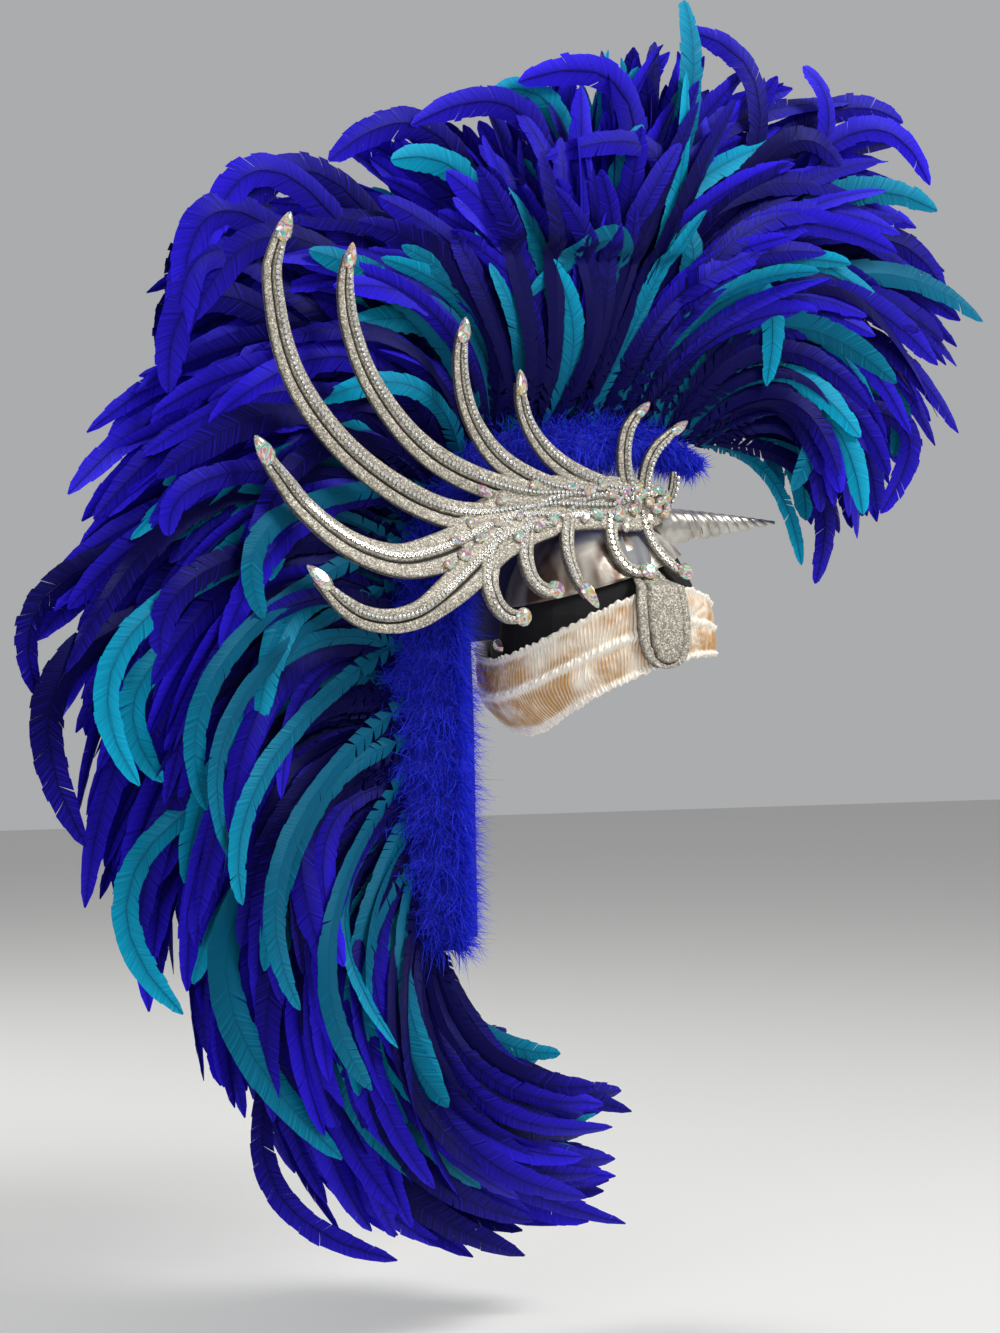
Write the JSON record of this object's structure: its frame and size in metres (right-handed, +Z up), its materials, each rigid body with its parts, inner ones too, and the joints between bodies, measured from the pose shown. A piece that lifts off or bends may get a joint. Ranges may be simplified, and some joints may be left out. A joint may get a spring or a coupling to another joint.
{
  "type": "feather headdress",
  "caption": "Showgirl headdress: a cap with a twisted silver horn, crystal-set wings, a marabou ridge and a tall curling mane of blue and turquoise cock feathers.",
  "frame": {"origin": "middle of the head opening, where the head enters, at the height of the ruched band over the ears", "axes": "+X to the wearer's front, along the horn; +Y to the wearer's left; +Z up"},
  "size_m": [0.942, 0.2384, 1.107],
  "materials": {
    "black_felt": "matt black felt over a stiff cap",
    "silver_vinyl": "mirror silver stretch vinyl",
    "cream_satin": "ruched cream satin with gold edges",
    "silver_horn": "silver metal leaf, lightly creased",
    "ridge_frame": "dark blue covered buckram",
    "marabou": "fluffy marabou down",
    "cock_feather": "silky barbs with a soft sheen",
    "glitter_foam": "dense silver and champagne glitter on foam",
    "grey_satin": "folded grey satin",
    "rhinestone_chain": "claw cups with small clear stones",
    "aurora_crystal": "foil-backed cut crystal with a rainbow coat"
  },
  "bodies": {
    "root": {"base_cap": "black_felt", "silver_cap": "silver_vinyl", "ruched_band": "cream_satin", "horn": "silver_horn", "ridge_frame": "ridge_frame", "marabou_crown": "marabou", "marabou_back": "marabou", "mane_front": "cock_feather", "mane_crown": "cock_feather", "mane_nape": "cock_feather", "mane_back": "cock_feather", "mane_tail": "cock_feather", "wing_right": "glitter_foam", "wing_left": "glitter_foam", "wing_chain_right": "rhinestone_chain", "wing_chain_left": "rhinestone_chain", "temple_tab_right": "glitter_foam", "temple_tab_left": "glitter_foam", "satin_leaf_right": "grey_satin", "satin_leaf_left": "grey_satin", "cap_stone": "aurora_crystal", "body_stone_drop_right": "aurora_crystal", "body_stone_drop_left": "aurora_crystal", "body_stone_front_right": "aurora_crystal", "body_stone_front_left": "aurora_crystal", "body_stone_middle_right": "aurora_crystal", "body_stone_middle_left": "aurora_crystal", "body_stone_rear_right": "aurora_crystal", "body_stone_rear_left": "aurora_crystal", "body_stone_end_right": "aurora_crystal", "body_stone_end_left": "aurora_crystal", "tip_stone_a1_right": "aurora_crystal", "tip_stone_a1_left": "aurora_crystal", "tip_stone_a2_right": "aurora_crystal", "tip_stone_a2_left": "aurora_crystal", "tip_stone_a3_right": "aurora_crystal", "tip_stone_a3_left": "aurora_crystal", "tip_stone_a4_right": "aurora_crystal", "tip_stone_a4_left": "aurora_crystal", "tip_stone_a5_right": "aurora_crystal", "tip_stone_a5_left": "aurora_crystal", "tip_stone_a6_right": "aurora_crystal", "tip_stone_a6_left": "aurora_crystal", "tip_stone_b1_right": "aurora_crystal", "tip_stone_b1_left": "aurora_crystal", "tip_stone_b2_right": "aurora_crystal", "tip_stone_b2_left": "aurora_crystal", "tip_stone_c1_right": "aurora_crystal", "tip_stone_c1_left": "aurora_crystal", "tip_stone_c2_right": "aurora_crystal", "tip_stone_c2_left": "aurora_crystal", "tip_stone_c3_right": "aurora_crystal", "tip_stone_c3_left": "aurora_crystal", "tip_stone_c4_right": "aurora_crystal", "tip_stone_c4_left": "aurora_crystal", "tip_stone_c5_right": "aurora_crystal", "tip_stone_c5_left": "aurora_crystal"}
  },
  "joints": []
}
